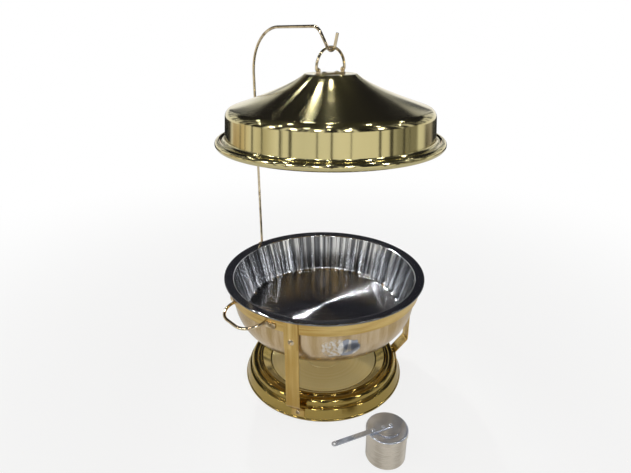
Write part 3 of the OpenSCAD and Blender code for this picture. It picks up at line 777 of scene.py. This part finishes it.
def makeLid():
    s = lidSet
    low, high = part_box("lid_shell")
    beadR = radiusOf("lid_shell") - s["bead"]
    band = low.z + s["flareH"]
    shoulder = band + s["bandH"] + s["shoulderRise"]
    start = Vector((s["bandR"] - s["taper"] - s["coneIn"], shoulder + s["coneUp"]))
    end = Vector((s["topR"] + s["topStep"], high.z - s["topStep"]))
    pulled = (s["topR"] + start.x) / 2 - s["coneHollow"]
    middle = Vector((pulled, start.y + s["coneLift"] * (end.y - start.y)))
    shares = [i / s["coneSteps"] for i in range(1, s["coneSteps"] + 1)]
    cone = [(1 - t) ** 2 * start + 2 * t * (1 - t) * middle + t ** 2 * end for t in shares]
    corners = arc((beadR, low.z + s["bead"]), s["bead"], *s["beadArc"])
    corners += [
        (s["bandR"] + s["flareOut"], band - s["flareDrop"], s["flareRound"]),
        (s["bandR"], band, s["bandRound"]),
        (s["bandR"] - s["taper"], shoulder, s["shoulderR"]),
        (start.x, start.y),
    ]
    corners += [(point.x, point.y) for point in cone]
    corners += [(s["topR"], high.z, s["topRound"]), (0, high.z)]
    axis = Vector((0, pivots["lid_tilt"].y, 0))
    bm = turned(lathe(corners, s["sheet"], steps=fineSteps), Matrix.Translation(axis))

    # the inside faces the axis or the table, and takes the gold painted darker as shade
    def pick(face):
        middle = face.calc_center_median()
        inward = (axis - middle).to_2d().normalized()
        facing = face.normal.x * inward.x + face.normal.y * inward.y
        turnedIn = facing > s["faceIn"] or face.normal.z < -s["faceIn"]
        return int(middle.z > band - s["flareDrop"] and turnedIn)

    finishPiece("lid", bm, "lid_shell", ["lid", "lidInsidePaintedShade"], pick)


# food pan: turned-down lip, flange that rises outwards, sloping wall, brushed floor
panSet = {
    "sheet": 1 * mm, "boreR": 172.5 * mm, "boreRound": 2 * mm, "rise": 3 * mm, "floorR": 146 * mm,
    "corner": 10 * mm, "lip": 3 * mm, "lipRound": 1.5 * mm, "depth": 78 * mm, "edgeW": 1.2 * mm,
    "level": 0.99, "floorSlack": 0.1 * mm,
}


def makeFoodPan():
    s = panSet
    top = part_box("food_pan")[1].z
    rim = radiusOf("food_pan")
    floor = top - s["depth"]
    corners = [
        (rim, top - s["lip"]),
        (rim, top, s["lipRound"]),
        (s["boreR"], top - s["rise"], s["boreRound"]),
        (s["floorR"] + s["corner"] / 2, floor, s["corner"]),
        (0, floor),
    ]
    looks = ["mirror", "panFloor", "panWall", "panEdgePaintedDark"]

    def pick(face):
        middle = face.calc_center_median()
        out = middle.xy.length
        if abs(face.normal.z) > s["level"] and middle.z < floor + s["floorSlack"]:
            return looks.index("panFloor")
        # the outer lip takes the painted dark reflection
        if out > rim - s["edgeW"]:
            return looks.index("panEdgePaintedDark")
        return looks.index("panWall" if out < s["boreR"] - s["edgeW"] else "mirror")

    finishPiece("foodPan", lathe(corners, s["sheet"], steps=fineSteps), "food_pan", looks, pick)


# water pan: rim along the flange, short neck and a round bowl with a flat floor
bowlSet = {
    "sheet": 1 * mm, "floorR": 105 * mm, "rimW": 8 * mm, "turnIn": 1.5 * mm, "turnRound": 2.5 * mm,
    "neckIn": 4.5 * mm, "neckH": 38 * mm, "steps": 24,
}


def makeWaterPan():
    s = bowlSet
    low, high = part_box("water_pan")
    rim = radiusOf("water_pan")
    slope = panSet["rise"] / (radiusOf("food_pan") - panSet["boreR"])
    neck = rim - s["rimW"]
    turn = neck - s["turnIn"]
    bowlR = neck - s["neckIn"]
    bowlTop = high.z - s["rimW"] * slope - s["neckH"]
    deep = bowlTop - low.z - s["sheet"]
    corners = [(rim, high.z), (turn, high.z - (rim - turn) * slope, s["turnRound"])]
    for i in range(s["steps"] + 1):
        angle = pi / 2 * i / s["steps"]
        corners.append((s["floorR"] + (bowlR - s["floorR"]) * cos(angle), bowlTop - deep * sin(angle)))
    corners.append((0, low.z + s["sheet"]))
    finishPiece("waterPan", lathe(corners, s["sheet"], steps=fineSteps), "water_pan", ["film"])


makeBase()
makeLid()
makeFoodPan()
makeWaterPan()


# support ring and its tabs
ringSet = {"thick": 2 * mm, "edge": 0.5 * mm, "tabT": 2.5 * mm, "tabW": 25 * mm, "tabCorner": 2.5 * mm}
legTurns = {"leg_left": radians(-150), "leg_right": radians(-30), "leg_rear": radians(90)}


def makeRing():
    s = ringSet
    low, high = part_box("support_ring")
    outer = radiusOf("support_ring")
    inner = outer - s["thick"]
    section = [(outer, low.z), (outer, high.z), (inner, high.z), (inner, low.z)]
    ring = lathe([(*corner, s["edge"]) for corner in section], closed=True, steps=fineSteps)
    finishPiece("supportRing", ring, "support_ring", ["band"])
    low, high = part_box("ring_tabs")
    size = (s["tabT"], s["tabW"], high.z - low.z)
    tabs = []
    for turn in legTurns.values():
        tab = plate((outer, -s["tabW"] / 2, low.z), size, s["tabCorner"], s["edge"])
        tabs.append(turned(tab, aboutZ(turn)))
    finishPiece("ringTabs", gather(tabs), "ring_tabs", ["strap"])


# strap legs: straight down, in at the knee, flat on the skirt
legSet = {
    "width": 25 * mm, "thick": 2.5 * mm, "corner": 0.6 * mm, "edge": 0.5 * mm,
    "kneeZ": 48 * mm, "kneeR": 10 * mm, "ankleZ": 19 * mm, "ankleR": 6 * mm,
}


def skirtAt(z):
    s = baseSet
    lineR = radiusOf("base_dish") - s["lineIn"]
    return lineR - s["skirtIn"] * (z - s["lineZ"]) / (s["skirtH"] - s["lineZ"])


def makeLegs():
    s = legSet
    inner = radiusOf("support_ring") - s["thick"]
    half = s["thick"] / 2
    radii = [s["kneeR"], s["ankleR"]]
    for node, around in legTurns.items():
        low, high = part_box(node)
        # the strap's middle line, out from the axis and up
        line = [
            Vector((inner + half, high.z)),
            Vector((inner + half, s["kneeZ"])),
            Vector((skirtAt(s["ankleZ"]) + half, s["ankleZ"])),
            Vector((skirtAt(low.z) + half, low.z)),
        ]
        runs = [b - a for a, b in zip(line, line[1:])]
        turns = [atan2(a.x * b.y - a.y * b.x, a.dot(b)) for a, b in zip(runs, runs[1:])]
        # what each bend takes from the runs beside it
        used = [radius * abs(tan(turn / 2)) for radius, turn in zip(radii, turns)]
        lengths = [run.length - before - after for run, before, after in zip(runs, [0, *used], [*used, 0])]
        moves = [(lengths[0],)]
        for radius, turn, length in zip(radii, turns, lengths[1:]):
            side = (0, -1, 0) if turn > 0 else (0, 1, 0)
            moves += [(radius, degrees(abs(turn)), side), (length,)]
        bm = bmesh.new()
        start = (line[0].x, 0, line[0].y)
        section = strapSection(bm, s["width"], s["thick"], s["corner"], start, (0, 1, 0), (1, 0, 0))
        bentBar(bm, section, start, (0, 0, -1), moves, edgeRound=s["edge"])
        finishPiece("leg" + node[4:].capitalize(), turned(bm, aboutZ(around)), node, ["strap"])


makeRing()
makeLegs()


# screws, nuts and rivets, made upright with the underside of the head at zero
headSet = {
    "screwR": 5.5 * mm, "screwH": 2.6 * mm, "screwShank": 2.5 * mm,
    "recess": 2.25 * mm, "recessRim": 0.3 * mm, "recessD": 1.6 * mm, "recessClear": 1.1,
    "nutR": 4.3 * mm, "nutH": 2.6 * mm, "nutEdge": 0.3 * mm,
    "rivetR": 4 * mm, "rivetH": 1.6 * mm, "rivetShank": 2 * mm, "backH": 1 * mm, "footGrip": 1.3 * mm,
    "domeSteps": 10, "domeSides": 28, "studEdge": 0.2 * mm, "studSides": 24,
}


def dome(radius, height, recess=0.0):
    s = headSet
    ball = (radius ** 2 + height ** 2) / (2 * height)
    rise = acos((ball - height) / ball)
    turns = [rise * (1 - i / s["domeSteps"]) for i in range(s["domeSteps"])]
    points = [(ball * sin(turn), height - ball + ball * cos(turn)) for turn in turns]
    if recess:
        floor = height - s["recessD"]
        points = [point for point in points if point[0] > recess * s["recessClear"]]
        points += [(recess, height - s["recessRim"]), (recess, floor), (0, floor)]
    else:
        points.append((0, height))
    return lathe([(0, 0)] + points, steps=s["domeSides"])


def stud(radius, start, end):
    edge = headSet["studEdge"]
    corners = [(0, start), (radius, start, edge), (radius, end, edge), (0, end)]
    return lathe(corners, steps=headSet["studSides"])


def screw(grip):
    s = headSet
    return gather([dome(s["screwR"], s["screwH"], s["recess"]), stud(s["screwShank"], -grip, 0)])


def rivet(grip):
    s = headSet
    back = stud(s["rivetR"], -grip - s["backH"], -grip)
    return gather([dome(s["rivetR"], s["rivetH"]), stud(s["rivetShank"], -grip, 0), back])


def hexNut():
    s = headSet
    nut = bmesh.new()
    bmesh.ops.create_circle(nut, cap_ends=True, segments=6, radius=s["nutR"])
    top = bmesh.ops.extrude_face_region(nut, geom=nut.faces[:])["geom"]
    bmesh.ops.translate(nut, vec=(0, 0, s["nutH"]), verts=onlyVerts(top))
    bmesh.ops.recalc_face_normals(nut, faces=nut.faces)
    rounded(nut, nut.edges[:], s["nutEdge"], roundSteps["nut"])
    return nut


def makeFasteners():
    s = headSet
    ringR = radiusOf("support_ring")
    strap = legSet["thick"]
    screwZ = sum(corner.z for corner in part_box("leg_screws")) / 2
    footZ = sum(corner.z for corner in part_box("leg_foot_rivets")) / 2
    tilt = -atan2(baseSet["skirtIn"], baseSet["skirtH"] - baseSet["lineZ"])
    skirt = Matrix.Translation((skirtAt(footZ), 0, footZ)) @ Matrix.Rotation(tilt, 4, "Y")
    footSpot = skirt @ Matrix.Translation((strap, 0, 0)) @ alongX
    nutSpot = Matrix.Translation((ringR - strap - s["nutH"], 0, screwZ)) @ alongX @ quarter
    screws, nuts, feet = [], [], []
    for node, turn in legTurns.items():
        around = aboutZ(turn)
        # the rear screw also holds the hanger's bracket
        depth = strap * (2 if node == "leg_rear" else 1)
        screwSpot = Matrix.Translation((ringR + depth, 0, screwZ)) @ alongX
        screws.append(turned(screw(depth + strap + s["nutH"]), around @ screwSpot))
        nuts.append(turned(hexNut(), around @ nutSpot))
        feet.append(turned(rivet(strap + s["footGrip"]), around @ footSpot))
    finishPiece("legScrews", gather(screws), "leg_screws", ["fastener"])
    finishPiece("legNuts", gather(nuts), "leg_nuts", ["burner"])
    finishPiece("footRivets", gather(feet), "leg_foot_rivets", ["fastener"])


makeFasteners()


# side handles: a drooping wire loop with flattened ends riveted to the ring
handleSet = {
    "wireR": 2.75 * mm, "span": 88 * mm, "reach": 37 * mm, "bend": 32 * mm, "droop": radians(10),
    "root": 1.1 * mm, "tabL": 22 * mm, "tabH": 10 * mm, "tabT": 2.2 * mm, "tabOut": 1 * mm,
    "tabIn": 0.2 * mm, "tabCorner": 3 * mm, "tabEdge": 0.6 * mm, "grip": 2.1 * mm,
}


def makeHandles():
    s = handleSet
    ringR = radiusOf("support_ring")
    z = sum(corner.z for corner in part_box("handle_rivets")) / 2
    half = s["span"] / 2
    loopSpot = Matrix.Translation((sqrt(ringR ** 2 - half ** 2), 0, z)) @ Matrix.Rotation(s["droop"], 4, "Y")
    tabY = half + s["tabL"] / 2 + s["tabOut"]
    tabTurn = atan2(tabY, sqrt(ringR ** 2 - tabY ** 2))
    tabLow = (ringR - s["tabIn"], -s["tabL"] / 2, z - s["tabH"] / 2)
    tabSize = (s["tabT"] + s["tabIn"], s["tabL"], s["tabH"])
    rivetSpot = Matrix.Translation((ringR + s["tabT"], 0, z)) @ alongX
    start = (-s["root"], -half, 0)
    arm = (s["reach"] + s["root"] - s["bend"],)
    bend = (s["bend"], 90, (0, 0, 1))
    moves = [arm, bend, (s["span"] - 2 * s["bend"],), bend, arm]
    rivets = []
    for name, node, side in (("handleRight", "handle_right", 0), ("handleLeft", "handle_left", pi)):
        loop = bmesh.new()
        section = roundSection(loop, s["wireR"], start, (1, 0, 0))
        bentBar(loop, section, start, (1, 0, 0), moves)
        parts = [turned(loop, loopSpot)]
        for turn in (-tabTurn, tabTurn):
            tab = plate(tabLow, tabSize, s["tabCorner"], s["tabEdge"])
            parts.append(turned(tab, aboutZ(turn)))
            rivets.append(turned(rivet(s["tabT"] + s["grip"]), aboutZ(side + turn) @ rivetSpot))
        finishPiece(name, turned(gather(parts), aboutZ(side)), node, ["wire"])
    finishPiece("handleRivets", gather(rivets), "handle_rivets", ["fastener"])


makeHandles()


# hanger: bracket plate with two eyes, socket tube, bent rod with its hook
hangerSet = {
    "plateT": 2.5 * mm, "plateW": 25 * mm, "plateCorner": 2 * mm, "edge": 0.5 * mm, "grip": 7.1 * mm,
    "eyeH": 6 * mm, "eyeWall": 3 * mm, "eyeIn": 0.3 * mm, "eyeRound": 0.95,
    "tubeR": 4.55 * mm, "tubeFoot": 1 * mm, "tubeRim": 0.6 * mm, "tubeFloor": 4 * mm, "tubeSteps": 40,
    "boreR": 2.55 * mm, "boreRim": 0.4 * mm,
    "rodR": 2.5 * mm, "bendR": 80 * mm, "elbowR": 24 * mm, "hookR": 9 * mm, "hookGap": 0.3 * mm,
    "armSide": (0.6, 0.8), "tipSide": (-0.28, 0.96), "tip": 38 * mm, "tipRound": 0.8 * mm, "bendSteps": 20,
}


def makeHanger():
    s = hangerSet
    post = pivots["hanger_swing"].y
    face = radiusOf("support_ring") + ringSet["tabT"]
    out = face + s["plateT"]
    low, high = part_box("hanger_bracket")
    eyeR = s["tubeR"] + s["eyeWall"]
    eyeStart = out - s["eyeIn"]
    plateSize = (s["plateT"], s["plateW"], high.z - low.z)
    eyeSize = (post + eyeR - eyeStart, 2 * eyeR, s["eyeH"])
    parts = [plate((face, -s["plateW"] / 2, low.z), plateSize, s["plateCorner"], s["edge"])]
    for z in (low.z, high.z - s["eyeH"]):
        parts.append(plate((eyeStart, -eyeR, z), eyeSize, s["eyeRound"] * eyeR, s["edge"]))
    finishPiece("hangerBracket", turned(gather(parts), quarter), "hanger_bracket", ["strap"])
    low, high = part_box("hanger_socket")
    floor = low.z + s["tubeFloor"]
    corners = [
        (0, low.z), (s["tubeR"], low.z, s["tubeFoot"]), (s["tubeR"], high.z, s["tubeRim"]),
        (s["boreR"], high.z, s["boreRim"]), (s["boreR"], floor), (0, floor),
    ]
    socket = turned(lathe(corners, steps=s["tubeSteps"]), Matrix.Translation((0, post, 0)))
    finishPiece("hangerSocket", socket, "hanger_socket", ["wire"])
    rivetZ = sum(corner.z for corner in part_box("bracket_rivet")) / 2
    spot = quarter @ Matrix.Translation((out, 0, rivetZ)) @ alongX
    finishPiece("bracketRivet", turned(rivet(s["grip"]), spot), "bracket_rivet", ["fastener"])


def makeRod():
    s = hangerSet
    low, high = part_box("hanger_rod")
    post = pivots["hanger_swing"].y
    armZ = high.z - s["rodR"]
    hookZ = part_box("lid_bail")[1].z - 2 * bailSet["wireR"] - s["rodR"] - s["hookGap"]
    arm, tip = Vector(s["armSide"]), Vector(s["tipSide"])
    half = arm.angle(tip) / 2
    # where the sloping arm and the tip would cross below the hook
    above = (arm + tip).normalized() * s["hookR"] / sin(half)
    corner = Vector((pivots["lid_tilt"].y, hookZ + s["hookR"])) - above
    slope = (armZ - corner.y) / arm.y
    elbowY = corner.x + slope * arm.x
    elbowTurn = atan2(arm.y, arm.x)
    elbowRun = s["elbowR"] * tan(elbowTurn / 2)
    hookRun = s["hookR"] / tan(half)
    bm = bmesh.new()
    start = (0, post, low.z)
    section = roundSection(bm, s["rodR"], start, up)
    moves = [
        (armZ - low.z - s["bendR"],),
        (s["bendR"], 90, (1, 0, 0)),
        (post - s["bendR"] - elbowY - elbowRun,),
        (s["elbowR"], degrees(elbowTurn), (1, 0, 0)),
        (slope - elbowRun - hookRun,),
        (s["hookR"], 180 - 2 * degrees(half), (-1, 0, 0)),
        (s["tip"] - hookRun,),
    ]
    bentBar(bm, section, start, up, moves, steps=s["bendSteps"], edgeRound=s["tipRound"])
    finishPiece("hangerRod", bm, "hanger_rod", ["wire"])


# bail on the lid, its bracket and rivets
bailSet = {
    "wireR": 2.25 * mm, "archR": 31 * mm, "straight": 1 * mm, "stubR": 2.6 * mm, "stubIn": 5 * mm,
    "stubRound": 0.6 * mm, "bendSteps": 18, "stripT": 2 * mm, "stripW": 14 * mm, "stripCorner": 2 * mm,
    "edge": 0.5 * mm, "earRound": 0.96, "grip": 3.3 * mm,
}


def makeBail():
    s = bailSet
    pivot = pivots["lid_tilt"]
    low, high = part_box("bail_bracket")
    earOut = (high.x - low.x) / 2
    earR = high.z - pivot.z
    stub = earOut - s["stubIn"]
    bm = bmesh.new()
    start = (-stub, pivot.y, pivot.z)
    section = roundSection(bm, s["wireR"], start, (-1, 0, 0))
    straight = (s["straight"],)
    arch = (s["archR"] - s["straight"] / 2, 90, (0, 1, 0))
    foot = [(s["archR"] - stub - s["stubR"],), (s["stubR"], 90, (0, 1, 0)), straight]
    moves = foot + [arch, straight, arch] + foot[::-1]
    bentBar(bm, section, start, (-1, 0, 0), moves, steps=s["bendSteps"], edgeRound=s["stubRound"])
    finishPiece("lidBail", bm, "lid_bail", ["wire"])

    stripLow = (-earOut, pivot.y - s["stripW"] / 2, low.z)
    parts = [plate(stripLow, (2 * earOut, s["stripW"], s["stripT"]), s["stripCorner"], s["edge"])]
    earSize = (s["stripT"], 2 * earR, high.z - low.z)
    for x in (-earOut, earOut - s["stripT"]):
        parts.append(plate((x, pivot.y - earR, low.z), earSize, s["earRound"] * earR, s["edge"]))
    finishPiece("bailBracket", gather(parts), "bail_bracket", ["wire"])

    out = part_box("bail_rivets")[1].x - headSet["rivetR"]
    spots = [Matrix.Translation((x, pivot.y, low.z + s["stripT"])) for x in (-out, out)]
    rivets = [turned(rivet(s["grip"]), spot) for spot in spots]
    finishPiece("bailRivets", gather(rivets), "bail_rivets", ["fastener"])


makeHanger()
makeRod()
makeBail()


# burner: drawn cup, cap with the flame opening, and the cover with its handle, pin and rivets
burnerSet = {
    "cupT": 1 * mm, "corner": 3 * mm, "steps": 96, "flameR": 18 * mm, "capGap": 0.1 * mm,
    "capRound": 3 * mm, "rimRound": 0.4 * mm, "innerRound": 0.3 * mm, "faceUp": 0.3,
}


def makeBurner():
    s = burnerSet
    low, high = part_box("burner_cup")
    centre = (low + high) / 2
    cupR = radiusOf("burner_cup")
    spot = Matrix.Translation((centre.x, centre.y, 0))
    corners = [(cupR, high.z), (cupR, low.z, s["corner"]), (0, low.z)]
    cup = lathe(corners, s["cupT"], steps=s["steps"], inwardUp=False)
    finishPiece("burnerCup", turned(cup, spot), "burner_cup", ["burner"])
    capR = radiusOf("burner_deck")
    capLow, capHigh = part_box("burner_deck")
    boreR = cupR + s["capGap"]
    corners = [
        (capR, capLow.z, s["rimRound"]), (capR, capHigh.z, s["capRound"]),
        (s["flameR"], capHigh.z, s["rimRound"]), (s["flameR"], high.z, s["innerRound"]),
        (boreR, high.z), (boreR, capLow.z, s["innerRound"]),
    ]

    def pick(face):
        return int(face.normal.z > s["faceUp"])

    cap = turned(lathe(corners, closed=True, steps=s["steps"]), spot)
    finishPiece("burnerCap", cap, "burner_deck", ["burner", "burnerTop"], pick)
    # flat pieces whose solids already have the right shape
    for node in ("snuffer_cover", "snuffer_handle", "snuffer_pin", "snuffer_rivets"):
        solid = frame["nodes"][node]
        solid.data.materials.clear()
        solid.data.materials.append(finishes["burnerTop"])


makeBurner()
